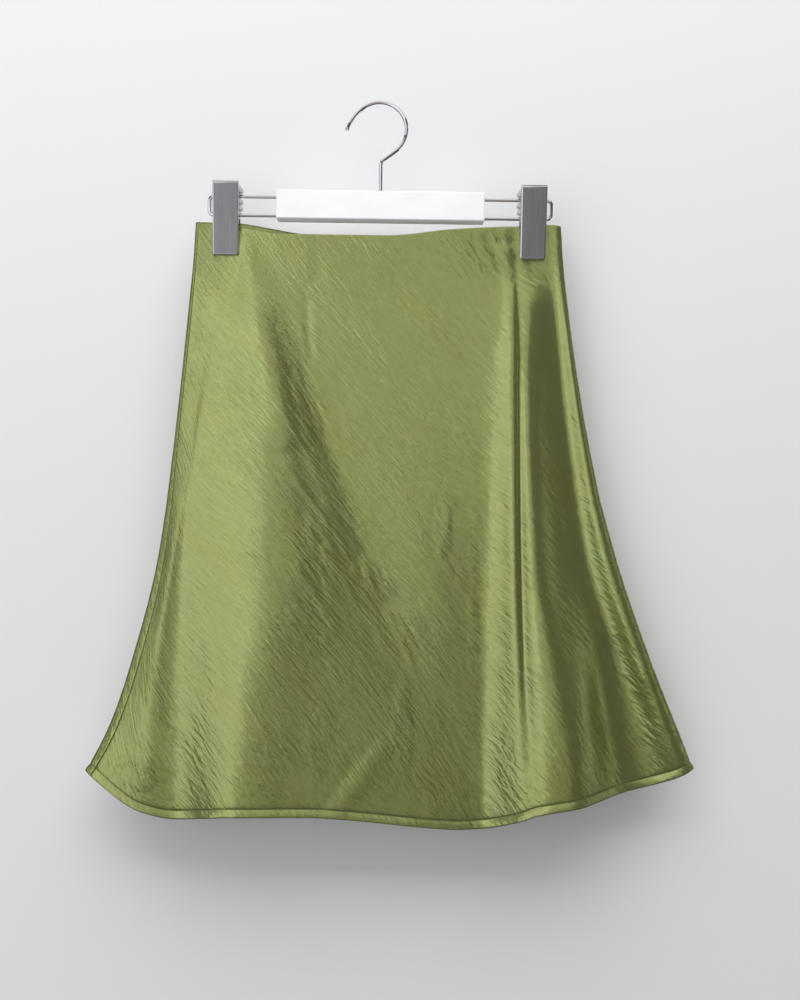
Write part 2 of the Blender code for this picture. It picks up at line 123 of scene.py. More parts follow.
# half width, height (minus for a hollow), then the places along it, right of the hook and up, all in mm
frontCreases = (
    # the right flute's near edge
    (9.0, 1.6, ((125, -132), (127, -215), (129, -300), (133, -420), (139, -540))),
    # puckers left of the middle at the waist, and at the left edge
    (2.6, -1.1, ((-58, -126), (-57, -150), (-58, -178))),
    (3.4, -0.8, ((-69, -173), (-66, -208), (-61, -250))),
    (2.4, -0.6, ((-171, -207), (-164, -215), (-159, -229))),
    # beside the right clip
    (3.0, -0.9, ((99, -122), (108, -137), (119, -156))),
    (3.0, -0.6, ((88, -126), (95, -141), (107, -162))),
    (3.4, -0.9, ((112, -128), (124, -129), (133, -134))),
    # where the waist is faced inside
    (1.5, -0.25, ((-146, -165), (-72, -168), (21, -171), (118, -161))),
    # a folded corner at the hem, and the cloth that it lifts
    (1.5, -0.5, ((-56, -681), (-24, -634), (9, -588))),
    (9.0, 1.1, ((-41, -681), (-11, -638), (20, -598))),
    # the right flute's far side, and the broad swell beside it from the knee down
    (11.0, 2.3, ((145, -140), (147, -300), (153, -420), (168, -550), (186, -650), (212, -760))),
    (28.0, 11.0, ((168, -450), (183, -550), (192, -650), (200, -800))),
    # the upper end of the fold that slants down from the left clip
    (14.0, 2.5, ((-134, -120), (-124, -151), (-107, -207), (-89, -282), (-76, -330))),
    # hollow and ridge below the right clip
    (12.0, -1.8, ((121, -140), (124, -182), (127, -230))),
    (6.0, 1.2, ((134, -108), (136, -140), (139, -176))),
    # the deep trough's floor
    (19.0, -4.4, ((213, -505), (222, -560), (234, -605), (248, -660), (270, -770))),
    # the crest along the right edge
    (12.0, 2.6, ((212, -380), (245, -500), (272, -580), (297, -668))),
    # the right flute's near edge at the waist
    (7.5, 1.2, ((121, -112), (123, -150), (127, -205), (129, -262))),
    # faint creases below the middle of the waist
    (3.0, 0.4, ((-31, -133), (-24, -153), (-16, -178))),
    (3.0, 0.4, ((-11, -133), (-4, -149), (-2, -168))),
    (3.4, -0.35, ((10, -144), (21, -179), (34, -220))),
    # small creases down the slanting fold
    (2.4, 0.5, ((-107, -224), (-85, -257), (-68, -282))),
    (2.4, 0.55, ((-94, -284), (-80, -307), (-51, -352))),
    (2.2, 0.5, ((-86, -227), (-75, -238), (-58, -260))),
    (2.4, 0.5, ((-71, -257), (-54, -283), (-33, -323))),
    (2.4, 0.55, ((-86, -340), (-65, -369), (-39, -403))),
    (2.4, 0.5, ((-69, -396), (-45, -428), (-18, -460))),
    (2.4, -0.45, ((-41, -381), (-20, -404), (1, -436))),
    (2.6, 0.55, ((-76, -433), (-57, -461), (-33, -498))),
    (2.4, -0.45, ((-1, -432), (14, -449), (29, -469))),
    (2.6, 0.45, ((12, -479), (28, -507), (44, -548))),
    # between that fold and the right flute
    (2.6, 0.45, ((73, -370), (68, -403), (61, -434))),
    (2.2, -0.4, ((40, -448), (52, -461), (61, -472))),
    (2.2, 0.4, ((22, -554), (35, -582), (42, -608))),
    # near the hem, in the middle and by the left seam
    (2.4, 0.4, ((-57, -602), (-51, -625), (-40, -650))),
    (2.2, 0.7, ((-209, -619), (-199, -630), (-190, -643))),
    (2.2, 0.7, ((-232, -634), (-222, -646), (-212, -659))),
)
backCreases = (
    # puckers at the waist, in the middle and beside the left clip
    (2.6, -0.9, ((52, -124), (54, -150), (51, -180))),
    (3.0, -0.8, ((-100, -122), (-110, -138), (-121, -158))),
    (3.0, -0.7, ((-86, -126), (-95, -143), (-108, -166))),
    # where the waist is faced inside
    (1.5, -0.25, ((-118, -161), (-21, -171), (72, -168), (146, -165))),
    # small creases down the middle and at the sides
    (3.4, 0.6, ((96, -230), (76, -262), (62, -300))),
    (3.0, -0.6, ((82, -300), (58, -340), (38, -380))),
    (2.8, 0.6, ((20, -340), (2, -372), (-14, -410))),
    (2.8, 0.5, ((66, -430), (44, -466), (24, -500))),
    (2.6, -0.6, ((-96, -420), (-112, -452), (-124, -490))),
    (2.6, 0.5, ((170, -470), (150, -506), (134, -544))),
    (2.4, -0.7, ((40, -668), (18, -634), (-4, -604))),
)
creaseEnds = {
    "narrow": 8,  # mm of half width, below which a crease stops at the hem's band
    "broad": 24,  # and from which its ends rise slowly
    "fade": 0.6,  # powers that shape the ends, where more is slower
    "slowFade": 1.3,
}

crinkles = {
    "lean": 34,  # degrees from upright, to the upper left seen from outside
    "width": 6.8,  # mm, as the next four
    "length": 27.0,
    "height": 0.5,
    "hemFade": 10,  # above the hem's band, over which they grow to their full height
    "waistFade": 130,  # and below the waist
    "atWaist": 0.3,  # share of the height that is left at the waist
    "elsewhere": 0.24,  # and outside the patches
}

# where the cloth is crinkled: right of the hook and up, half width and half height in mm, strength
frontPatches = (
    # the fold that slants down from the left clip
    (-69, -282, 24, 80, 0.8), (-53, -431, 32, 45, 1.0), (-2, -451, 28, 24, 1.0), (29, -497, 30, 26, 0.9),
    (-55, -495, 28, 50, 0.9), (-48, -597, 17, 52, 0.8), (29, -595, 13, 54, 0.9),
    # the right flute's near side, the deep trough, the left flute and the right side near the hem
    (99, -470, 13, 150, 0.7), (116, -320, 10, 130, 0.55),
    (196, -470, 14, 90, 0.3), (-150, -520, 26, 120, 0.4), (205, -620, 46, 40, 0.42),
    # smaller ones
    (64, -401, 11, 46, 0.7), (-118, -438, 16, 26, 0.5), (84, -650, 12, 17, 0.5), (-214, -635, 20, 20, 1.0),
    (-178, -560, 12, 60, 0.5), (232, -560, 18, 60, 0.45), (40, -250, 40, 30, 0.2), (100, -140, 18, 20, 0.4),
)
backPatches = (
    (60, -280, 26, 70, 0.8), (20, -410, 34, 40, 1.0), (-10, -520, 26, 50, 0.9), (90, -560, 20, 60, 0.8),
    (-110, -470, 18, 80, 0.8), (-190, -600, 24, 40, 0.7), (190, -590, 24, 50, 0.7), (-60, -320, 20, 40, 0.4),
)

hemStitches = {"pitch": 3.1, "length": 2.2, "radius": 0.22, "sink": 0.12, "fromSeam": 2.5}  # mm


def monotoneCurve(places, values, wanted):
    # a smooth curve through the values that doesn't swing past them
    widths = np.diff(places)
    rises = np.diff(values, axis=0) / widths[:, None]
    slopes = np.zeros_like(values)
    slopes[0], slopes[-1] = rises[0], rises[-1]
    for i in range(1, len(places) - 1):
        before, after = rises[i - 1], rises[i]
        near = 2 * widths[i] + widths[i - 1]
        far = widths[i] + 2 * widths[i - 1]
        sameWay = before * after > 0
        mean = (near + far) / (near / np.where(sameWay, before, 1) + far / np.where(sameWay, after, 1))
        slopes[i] = np.where(sameWay, mean, 0)
    span = np.clip(np.searchsorted(places, wanted, side="right") - 1, 0, len(places) - 2)
    width = widths[span][:, None]
    t = (wanted - places[span])[:, None] / width
    return (values[span] * (1 + 2 * t) * (1 - t) ** 2 + values[span + 1] * (3 - 2 * t) * t**2
            + slopes[span] * width * t * (1 - t) ** 2 - slopes[span + 1] * width * t**2 * (1 - t))


def softSpline(grid, where):
    # a cubic B-spline along the first axis, which rounds off small kinks
    ends = 2 * grid[:1] - grid[1:2], 2 * grid[-1:] - grid[-2:-1]
    padded = np.concatenate([ends[0], grid, ends[1]])
    i = np.clip(where.astype(int), 0, len(grid) - 2)
    t = (where - i).reshape(-1, *[1] * (grid.ndim - 1))
    weights = ((1 - t) ** 3, 3 * t**3 - 6 * t**2 + 4, 3 * t**2 + 3 * t - 3 * t**3 + 1, t**3)
    return sum(weight * padded[i + k] for k, weight in enumerate(weights)) / 6


def skirtRing():
    # the whole skirt as rows from waist to hem of points round the ring, in mm
    folds = frontFolds + backFolds
    wrap, stepPoints = skirtShape["wrapSteps"], skirtShape["stepPoints"]
    starts = np.cumsum([0] + [fold[3] for fold in folds])
    total = starts[-1]
    columns = np.concatenate([starts[-3:-1] - total, starts[:-1], starts[:2] + total]).astype(float)
    wanted = np.arange(-wrap * stepPoints, (total + wrap) * stepPoints + 1) / stepPoints
    shares = np.linspace(0, 1, skirtShape["ringRows"])
    stations = np.array(skirtShape["stations"])
    lines = []
    for name, waist, hem, steps, across, forward in folds:
        places = monotoneCurve(stations, np.column_stack([across, forward]).astype(float), shares)
        lines.append(np.column_stack([places[:, 0], -places[:, 1], waist + (hem - waist) * shares]))
    rows = []
    for r in range(len(shares)):
        ring = np.array([line[r] for line in lines])
        ring = np.concatenate([ring[-2:], ring, ring[:2]])
        rows.append(monotoneCurve(columns, ring, wanted))
    return np.array(rows)


def evenColumns(ring, first, last, count):
    # places on the ring from first to last, evenly spaced at knee height and closer together at the seams
    fine = np.linspace(first, last, 2000)
    line = softSpline(ring[skirtShape["kneeRow"]], fine)
    along = np.concatenate([[0], np.cumsum(np.linalg.norm(np.diff(line, axis=0), axis=1))])
    roll = skirtShape["seamRoll"]
    edge = np.array([0, 0.25, 0.55, 1, 1.6]) * roll
    middle = np.linspace(2.6 * roll, along[-1] - 2.6 * roll, count - 2 * len(edge))
    wanted = np.concatenate([edge, middle, along[-1] - edge[::-1]])
    return np.interp(wanted, along, fine), wanted


def clothRows(length, count):
    # distances below the waist's edge, closer together at the rolled edges and the hem's stitching
    hem = skirtShape["hemDepth"]
    top = np.array([0, 0.3, 0.7, 1.2, 2.0, 3.4])
    bottom = np.array([hem + 4, hem + 2.4, hem + 1.3, hem + 0.6, hem, hem - 0.6, hem - 1.4,
                       hem - 2.8, 3.4, 2.1, 1.3, 0.75, 0.3, 0])
    middle = np.linspace(5, length - hem - 6, count - len(top) - len(bottom))
    return np.concatenate([top, middle, length - bottom])


def outward(points):
    # unit directions out of the cloth at each point of a grid
    down = np.gradient(points, axis=0)
    along = np.gradient(points, axis=1)
    across = np.cross(down, along)
    return across / np.linalg.norm(across, axis=2)[..., None]


def rounded(distance, radius):
    # how far a rolled edge turns in at this distance from it
    reach = np.clip(1 - distance / radius, 0, 1)
    return radius * (1 - np.sqrt(1 - reach**2))


def creaseLift(points, creases, nearHem):
    # how far the creases lift or press each point of a grid, in mm. nearHem falls from 1 to 0 at the hem
    lift = np.zeros(points.shape[:2])
    across, up = points[..., 0], points[..., 2]
    for halfWidth, height, route in creases:
        nearest = np.full(across.shape, 1e9)
        share = np.zeros(across.shape)
        for i, (start, end) in enumerate(zip(route, route[1:])):
            way = np.subtract(end, start)
            t = ((across - start[0]) * way[0] + (up - start[1]) * way[1]) / (way @ way)
            t = np.clip(t, 0, 1)
            away = np.hypot(across - start[0] - t * way[0], up - start[1] - t * way[1])
            closer = away < nearest
            nearest = np.where(closer, away, nearest)
            share = np.where(closer, (i + t) / (len(route) - 1), share)
        power = creaseEnds["fade" if halfWidth < creaseEnds["broad"] else "slowFade"]
        fade = np.clip(4 * share * (1 - share), 0, 1) ** power
        stop = nearHem if halfWidth < creaseEnds["narrow"] else 1
        lift += height * fade * np.exp(-((nearest / halfWidth) ** 2)) * stop
    return lift


def crinkledShare(points, patches):
    # how crinkled each point of a grid is, from 0 to 1
    share = np.full(points.shape[:2], crinkles["elsewhere"])
    for across, up, halfWidth, halfHeight, strength in patches:
        away = ((points[..., 0] - across) / halfWidth) ** 2 + ((points[..., 2] - up) / halfHeight) ** 2
        share = np.maximum(share, strength * np.exp(-(away**1.5)))
    return share


def crinkleLift(points, facing, seed):
    # small streaks that lean the way the bias-cut cloth pulls. facing is -1 in front, 1 behind
    lean = math.radians(crinkles["lean"])
    along = np.array([-facing * math.sin(lean), -math.cos(lean)])
    rise = np.array([-along[1], along[0]])
    flat = points[..., [0, 2]].reshape(-1, 2)
    lengthwise = flat @ along / crinkles["length"]
    widthwise = flat @ rise / crinkles["width"]
    lift = [noise.noise((a, b, seed)) + 0.5 * noise.noise((2 * a, 2 * b, seed + 9))
            for a, b in zip(lengthwise, widthwise)]
    return crinkles["height"] * np.reshape(lift, points.shape[:2])


def hemLift(above, along, facing):
    # the cloth dips to the stitching, then the hem's band stands out more and more towards its lower edge
    hem = skirtShape["hemDepth"]
    groove = skirtShape["stitchGroove"]
    change = skirtShape["hemPuffLength"]
    puff = np.array([skirtShape["hemPuff"] * (0.75 + 0.7 * noise.noise((s / change, 5, facing))) for s in along])
    rise = np.sin(np.pi / 2 * np.clip((hem - above) / (0.75 * hem), 0, 1))
    dip = groove * np.exp(-np.maximum(above - hem, 0) / skirtShape["stitchGrooveFade"])
    return (puff[None, :] + groove) * rise - dip


def sheetGrid(facing, ring, first, last, fineness, creases, patches):
    # one panel's points, the ways out of it, its rows' distances down the cloth, and how crinkled it is
    columns, along = evenColumns(ring, first, last, fineness[0])
    line = softSpline(ring[:, (first + last) // 2], np.arange(0, len(ring) - 1, 0.25))
    length = np.linalg.norm(np.diff(line, axis=0), axis=1).sum()
    down = clothRows(length, fineness[1])
    rows = softSpline(ring, down / length * (len(ring) - 1))
    points = np.swapaxes(softSpline(np.swapaxes(rows, 0, 1), columns), 0, 1)
    normals = outward(points)
    above = (length - down)[:, None]
    below = down[:, None]
    hem = skirtShape["hemDepth"]
    crinkled = crinkledShare(points, patches) * np.clip((above - hem) / crinkles["hemFade"], 0, 1)
    crinkled = crinkled * np.clip(below / crinkles["waistFade"], crinkles["atWaist"], 1)
    lift = creaseLift(points, creases, np.clip((above - 2) / 5, 0, 1))
    lift = lift + crinkleLift(points, facing, 3 + facing) * crinkled + hemLift(above, along, facing)
    lift = lift - rounded(above, skirtShape["edgeRoll"]) - rounded(below, skirtShape["edgeRoll"])
    seam = np.minimum(along, along[-1] - along)[None, :]
    lift = lift - rounded(seam, skirtShape["seamRoll"])
    cloth = points + normals * lift[..., None]
    return cloth, normals, down, crinkled


def pickOnly(piece):
    # selects one piece and nothing else
    bpy.ops.object.select_all(action="DESELECT")
    bpy.context.view_layer.objects.active = piece
    piece.select_set(True)


def clothObject(name, points, down, material, crinkled):
    # a sheet of the grid's points with its own thickness and a UV map in metres over the flat cloth
    rows, columns = points.shape[:2]
    index = np.arange(rows * columns).reshape(rows, columns)
    faces = np.stack([index[:-1, :-1], index[1:, :-1], index[1:, 1:], index[:-1, 1:]], axis=-1).reshape(-1, 4)
    mesh = bpy.data.meshes.new(name)
    mesh.from_pydata((points * mm).reshape(-1, 3).tolist(), [], faces.tolist())
    mesh.materials.append(material)
    mesh.shade_smooth()
    steps = np.linalg.norm(np.diff(points, axis=1), axis=2)
    along = np.concatenate([np.zeros((rows, 1)), np.cumsum(steps, axis=1)], axis=1)
    along = along - along[:, columns // 2][:, None]
    places = np.stack([along, np.broadcast_to(-down[:, None], along.shape)], axis=-1).reshape(-1, 2) * mm
    corners = np.empty(len(mesh.loops), int)
    mesh.loops.foreach_get("vertex_index", corners)
    mesh.uv_layers.new(name="cloth").data.foreach_set("uv", places[corners].ravel())
    mesh.attributes.new("crinkled", "FLOAT", "POINT").data.foreach_set("value", crinkled.ravel())
    sheet = bpy.data.objects.new(name, mesh)
    bpy.context.scene.collection.objects.link(sheet)
    pickOnly(sheet)
    thickness = sheet.modifiers.new("thickness", "SOLIDIFY")
    thickness.thickness = skirtShape["clothThickness"] * mm
    thickness.offset = -1
    thickness.use_even_offset = False
    bpy.ops.object.modifier_apply(modifier="thickness")
    return sheet


def hemStrip(side, cloth, normals, down, material):
    # the turned-up edge inside, folded at the bottom and caught by the stitching at its top
    above = down[-1] - down
    rows = above <= skirtShape["hemDepth"] + skirtShape["hemTurnUpPast"]
    inside = skirtShape["clothThickness"] + skirtShape["hemLiningGap"]
    turned = cloth[rows] - normals[rows] * inside
    return clothObject(side + "HemTurnUp", turned, down[rows], material, np.zeros(turned.shape[:2]))


def stitchRow(side, cloth, normals, down, material):
    # one stitch, copied along the line that holds the hem up
    bpy.ops.object.select_all(action="DESELECT")
    bpy.ops.mesh.primitive_uv_sphere_add(segments=6, ring_count=5, radius=1)
    pattern = bpy.context.object
    shape = np.empty(3 * len(pattern.data.vertices))
    pattern.data.vertices.foreach_get("co", shape)
    shape = shape.reshape(-1, 3)[:, [2, 0, 1]]
    shape[:, 0] = np.sign(shape[:, 0]) * np.abs(shape[:, 0]) ** 0.5
    faces = [list(face.vertices) for face in pattern.data.polygons]
    bpy.data.objects.remove(pattern)
    row = int(np.argmin(np.abs(down[-1] - down - skirtShape["hemDepth"])))
    line, out = cloth[row], normals[row]
    along = np.concatenate([[0], np.cumsum(np.linalg.norm(np.diff(line, axis=0), axis=1))])
    count = int((along[-1] - 4) / hemStitches["pitch"])
    reach = hemStitches["length"] / 2
    points, allFaces = [], []
    for s in np.linspace(hemStitches["fromSeam"], along[-1] - hemStitches["fromSeam"], count):
        ends = [np.array([np.interp(p, along, line[:, k]) for k in range(3)]) for p in (s - reach, s + reach)]
        up = np.array([np.interp(s, along, out[:, k]) for k in range(3)])
        way = (ends[1] - ends[0]) / 2
        wide = np.cross(up, way)
        wide = wide / np.linalg.norm(wide) * hemStitches["radius"]
        middle = (ends[0] + ends[1]) / 2 + up * (hemStitches["radius"] - hemStitches["sink"])
        base = len(points)
        points += list(middle + shape @ np.array([way, wide, up * hemStitches["radius"]]))
        allFaces += [[base + v for v in face] for face in faces]
    mesh = bpy.data.meshes.new(side + "HemStitches")
    mesh.from_pydata((np.array(points) * mm).tolist(), [], allFaces)
    mesh.materials.append(material)
    mesh.shade_smooth()
    stitches = bpy.data.objects.new(side + "HemStitches", mesh)
    bpy.context.scene.collection.objects.link(stitches)
    print(side, "hem:", count, "stitches")
    return stitches


def unevennessGroup():
    # slow and fine unevenness that several finishes share, as masks and a height
    group = bpy.data.node_groups.new("unevenness", "ShaderNodeTree")
    for name, kind, direction in (
        ("Vector", "NodeSocketVector", "INPUT"), ("Slow Scale", "NodeSocketFloat", "INPUT"),
        ("Fine Scale", "NodeSocketFloat", "INPUT"), ("Patches", "NodeSocketFloat", "OUTPUT"),
        ("Height", "NodeSocketFloat", "OUTPUT"),
    ):
        group.interface.new_socket(name=name, in_out=direction, socket_type=kind)
    tree, links = group.nodes, group.links
    start = tree.new("NodeGroupInput")
    end = tree.new("NodeGroupOutput")
    for socket, detail, result in (("Slow Scale", 2, "Patches"), ("Fine Scale", 5, "Height")):
        texture = tree.new("ShaderNodeTexNoise")
        texture.inputs["Detail"].default_value = detail
        links.new(start.outputs["Vector"], texture.inputs["Vector"])
        links.new(start.outputs[socket], texture.inputs["Scale"])
        links.new(texture.outputs["Fac"], end.inputs[result])
    return group


unevenness = unevennessGroup()


def newMaterial(name, colour, roughness, metallic=0.0):
    # a material with its nodes, its links and its shader
    material = bpy.data.materials.new(name)
    material.use_nodes = True
    shader = material.node_tree.nodes["Principled BSDF"]
    shader.inputs["Base Color"].default_value = (*colour, 1)
    shader.inputs["Roughness"].default_value = roughness
    shader.inputs["Metallic"].default_value = metallic
    return material, material.node_tree.nodes, material.node_tree.links, shader


def spread(tree, links, source, low, high):
    # a noise's middle range spread from low to high
    change = tree.new("ShaderNodeMapRange")
    change.inputs["From Min"].default_value = 0.3
    change.inputs["From Max"].default_value = 0.7
    change.inputs["To Min"].default_value = low
    change.inputs["To Max"].default_value = high
    links.new(source, change.inputs["Value"])
    return change.outputs["Result"]


def tint(tree, links, share, base, other):
    # mixes two colours by a share, where base is a colour or another node's output
    mix = tree.new("ShaderNodeMix")
    mix.data_type = "RGBA"
    links.new(share, mix.inputs["Factor"])
    if isinstance(base, tuple):
        mix.inputs["A"].default_value = (*base, 1)
    else:
        links.new(base, mix.inputs["A"])
    mix.inputs["B"].default_value = (*other, 1)
    return mix.outputs["Result"]


def clothPattern(tree, links, turn, scale, detail, distortion=0.0, seed=0.0):
    # a noise over the flat cloth whose grains are scale metres wide and long, turned by so many degrees
    place = tree.new("ShaderNodeUVMap")
    place.uv_map = "cloth"
    mapping = tree.new("ShaderNodeMapping")
    mapping.vector_type = "TEXTURE"
    mapping.inputs["Location"].default_value = (seed, 0, 0)
    mapping.inputs["Rotation"].default_value = (0, 0, math.radians(turn))
    mapping.inputs["Scale"].default_value = (*scale, 1)
    links.new(place.outputs["UV"], mapping.inputs["Vector"])
    texture = tree.new("ShaderNodeTexNoise")
    texture.inputs["Scale"].default_value = 1
    texture.inputs["Detail"].default_value = detail
    texture.inputs["Distortion"].default_value = distortion
    links.new(mapping.outputs["Vector"], texture.inputs["Vector"])
    return texture.outputs["Fac"]


satinLook = {
    "colour": (0.367, 0.412, 0.146),
    "warm": (0.40, 0.375, 0.13),  # with the size of its patches in metres across and along, and its most
    "warmPatch": (0.05, 0.12),
    "warmShare": 0.55,
    "cool": (0.32, 0.42, 0.18),
    "coolPatch": (0.04, 0.09),
    "coolShare": 0.45,
    "shade": (0.255, 0.295, 0.095),  # painted shade in fine streaks over the flat cloth, standing in for the crinkles' dark strokes
    "thread": (0.0022, 0.014),
    "paintedShadeShare": 0.36,
    "metallic": 0.8,
    "roughness": (0.18, 0.27),
    "roughPatch": (0.012, 0.04),
    "streak": (0.0036, 0.017),
    "streakDepth": 0.0015,
    "calm": (0.18, 0.72),  # least and most of the streaks' depth outside the crinkled patches
    "calmPatch": (0.035, 0.07),
    "grain": (0.0019, 0.011),
    "grainDepth": 0.0003,
    "grainTurn": 11,  # degrees from the streaks
}


def satinMaterial(name):
    look = satinLook
    material, tree, links, shader = newMaterial(name, look["colour"], look["roughness"][0], look["metallic"])
    lean = crinkles["lean"]
    warmth = clothPattern(tree, links, lean, look["warmPatch"], 2, seed=1.3)
    coolness = clothPattern(tree, links, lean, look["coolPatch"], 2, seed=4.1)
    shadeStreaks = clothPattern(tree, links, lean, look["thread"], 3, 0.3, seed=9.4)
    colour = tint(tree, links, spread(tree, links, warmth, 0, look["warmShare"]), look["colour"], look["warm"])
    colour = tint(tree, links, spread(tree, links, coolness, 0, look["coolShare"]), colour, look["cool"])
    # painted shade: the satin's colour is darkened along fine streaks
    colour = tint(tree, links, spread(tree, links, shadeStreaks, 0, look["paintedShadeShare"]), colour, look["shade"])
    links.new(colour, shader.inputs["Base Color"])
    sheen = clothPattern(tree, links, lean, look["roughPatch"], 3, seed=2.2)
    links.new(spread(tree, links, sheen, *look["roughness"]), shader.inputs["Roughness"])
    crinkled = tree.new("ShaderNodeAttribute")
    crinkled.attribute_name = "crinkled"
    streaks = clothPattern(tree, links, lean, look["streak"], 3, 0.4)
    share = tree.new("ShaderNodeMath")
    share.operation = "MAXIMUM"
    links.new(crinkled.outputs["Fac"], share.inputs[0])
    calm = clothPattern(tree, links, lean, look["calmPatch"], 1, seed=7.7)
    links.new(spread(tree, links, calm, *look["calm"]), share.inputs[1])
    height = tree.new("ShaderNodeMath")
    height.operation = "MULTIPLY"
    links.new(streaks, height.inputs[0])
    links.new(share.outputs["Value"], height.inputs[1])
    coarse = tree.new("ShaderNodeBump")
    coarse.inputs["Distance"].default_value = look["streakDepth"]
    links.new(height.outputs["Value"], coarse.inputs["Height"])
    fine = tree.new("ShaderNodeBump")
    fine.inputs["Distance"].default_value = look["grainDepth"]
    grain = clothPattern(tree, links, lean + look["grainTurn"], look["grain"], 2)
    links.new(grain, fine.inputs["Height"])
    links.new(coarse.outputs["Normal"], fine.inputs["Normal"])
    links.new(fine.outputs["Normal"], shader.inputs["Normal"])
    return material


# darkest and lightest colour, roughness from and to, metallic, slow and fine scale of the unevenness,
# bump depth in metres, stretch of the pattern
hardFinishes = {
    "chrome wire":
        ((0.70, 0.70, 0.72), (0.82, 0.82, 0.84), (0.07, 0.16), 1.0, 90, 700, 0.000004, (1, 1, 1)),
    "brushed clip steel":
        ((0.228, 0.235, 0.245), (0.31, 0.312, 0.322), (0.3, 0.42), 1.0, 60, 900, 0.000012, (6, 1, 0.5)),
    "white paint":
        ((0.92, 0.925, 0.93), (0.97, 0.975, 0.98), (0.3, 0.48), 0.0, 30, 420, 0.00003, (1, 1, 2)),
    "clip rubber":
        ((0.03, 0.03, 0.032), (0.05, 0.05, 0.052), (0.5, 0.75), 0.0, 120, 1500, 0.00005, (1, 1, 1)),
    # the hem thread is real, but it is coloured darker than the cloth as painted shade of the groove along the
    # stitching
    "hem thread in painted shade":
        ((0.10, 0.12, 0.04), (0.15, 0.17, 0.06), (0.5, 0.7), 0.0, 200, 2600, 0.00003, (1, 1, 1)),
}
# painted highlight: the clips' steel is coloured brighter the more a face turns to the side or up, so that the
# rims look lit. from and to are shares of its normal
paintedRimHighlight = {"colour": (0.9, 0.9, 0.92), "from": 0.08, "to": 0.4}


def hardMaterial(name):
    dark, light, roughness, metallic, slow, fine, depth, stretch = hardFinishes[name]
    material, tree, links, shader = newMaterial(name, light, roughness[0], metallic)
    place = tree.new("ShaderNodeTexCoord")
    mapping = tree.new("ShaderNodeMapping")
    mapping.inputs["Scale"].default_value = stretch
    links.new(place.outputs["Object"], mapping.inputs["Vector"])
    effect = tree.new("ShaderNodeGroup")
    effect.node_tree = unevenness
    effect.inputs["Slow Scale"].default_value = slow
    effect.inputs["Fine Scale"].default_value = fine
    links.new(mapping.outputs["Vector"], effect.inputs["Vector"])
    share = spread(tree, links, effect.outputs["Patches"], 0, 1)
    links.new(tint(tree, links, share, dark, light), shader.inputs["Base Color"])
    links.new(spread(tree, links, effect.outputs["Patches"], *roughness), shader.inputs["Roughness"])
    bump = tree.new("ShaderNodeBump")
    bump.inputs["Distance"].default_value = depth
    links.new(effect.outputs["Height"], bump.inputs["Height"])
    links.new(bump.outputs["Normal"], shader.inputs["Normal"])
    return material


def paintRimHighlights(material):
    # paints highlights on the clips' rims: the steel's colour turns brighter on faces that turn to the side or up
    tree, links = material.node_tree.nodes, material.node_tree.links
    shader = tree["Principled BSDF"]
    place = tree.new("ShaderNodeTexCoord")
    size = tree.new("ShaderNodeVectorMath")
    size.operation = "ABSOLUTE"
    links.new(place.outputs["Normal"], size.inputs[0])
    parts = tree.new("ShaderNodeSeparateXYZ")
    links.new(size.outputs["Vector"], parts.inputs["Vector"])
    turned = tree.new("ShaderNodeMath")
    turned.operation = "MAXIMUM"
    links.new(parts.outputs["X"], turned.inputs[0])
    links.new(parts.outputs["Z"], turned.inputs[1])
    rim = tree.new("ShaderNodeMapRange")
    rim.inputs["From Min"].default_value = paintedRimHighlight["from"]
    rim.inputs["From Max"].default_value = paintedRimHighlight["to"]
    links.new(turned.outputs["Value"], rim.inputs["Value"])
    steel = shader.inputs["Base Color"].links[0].from_socket
    links.new(tint(tree, links, rim.outputs["Result"], steel, paintedRimHighlight["colour"]), shader.inputs["Base Color"])


satin = satinMaterial("green satin")
finishes = {name: hardMaterial(name) for name in hardFinishes}
paintRimHighlights(finishes["brushed clip steel"])

ring = skirtRing()
frontSpan = skirtShape["stepPoints"] * sum(fold[3] for fold in frontFolds)
backSpan = skirtShape["stepPoints"] * sum(fold[3] for fold in backFolds)
first = skirtShape["stepPoints"] * skirtShape["wrapSteps"]
for side, facing, start, end, creases, patches in (
    ("front", -1, first, first + frontSpan, frontCreases, frontPatches),
    ("back", 1, first + frontSpan, first + frontSpan + backSpan, backCreases, backPatches),
):
    fineness = skirtShape[side + "Fineness"]
    cloth, normals, down, crinkled = sheetGrid(facing, ring, start, end, fineness, creases, patches)
    panel = clothObject(side + "Panel", cloth, down, satin, crinkled)
    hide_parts(side + "_panel")
    strip = hemStrip(side, cloth, normals, down, satin)
    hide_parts(side + "_hem")
    stitches = stitchRow(side, cloth, normals, down, finishes["hem thread in painted shade"])
    for piece in (panel, strip, stitches):
        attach(piece, "root")

clipShape = {
    "tilt": 6.0,  # degrees that a jaw leans out
    "seat": 1.7,  # mm from the middle of the cloth to a jaw's mouth
    "depth": 4.0,
    "wall": 0.9,
    "corner": 2.2,  # radius of the two corners at the mouth
    "bend": 1.7,  # offset of the bevel along the sides and the mouth
    "topBend": 2.6,  # and over the top
}


def pickEdges(test):
    # selects the edges of the piece in edit mode whose two ends pass the test
    shape = bmesh.from_edit_mesh(bpy.context.object.data)
    for face in shape.faces:
        face.select = False
    for edge in shape.edges:
        edge.select = test(edge.verts[0].co, edge.verts[1].co)
    bmesh.update_edit_mesh(bpy.context.object.data)


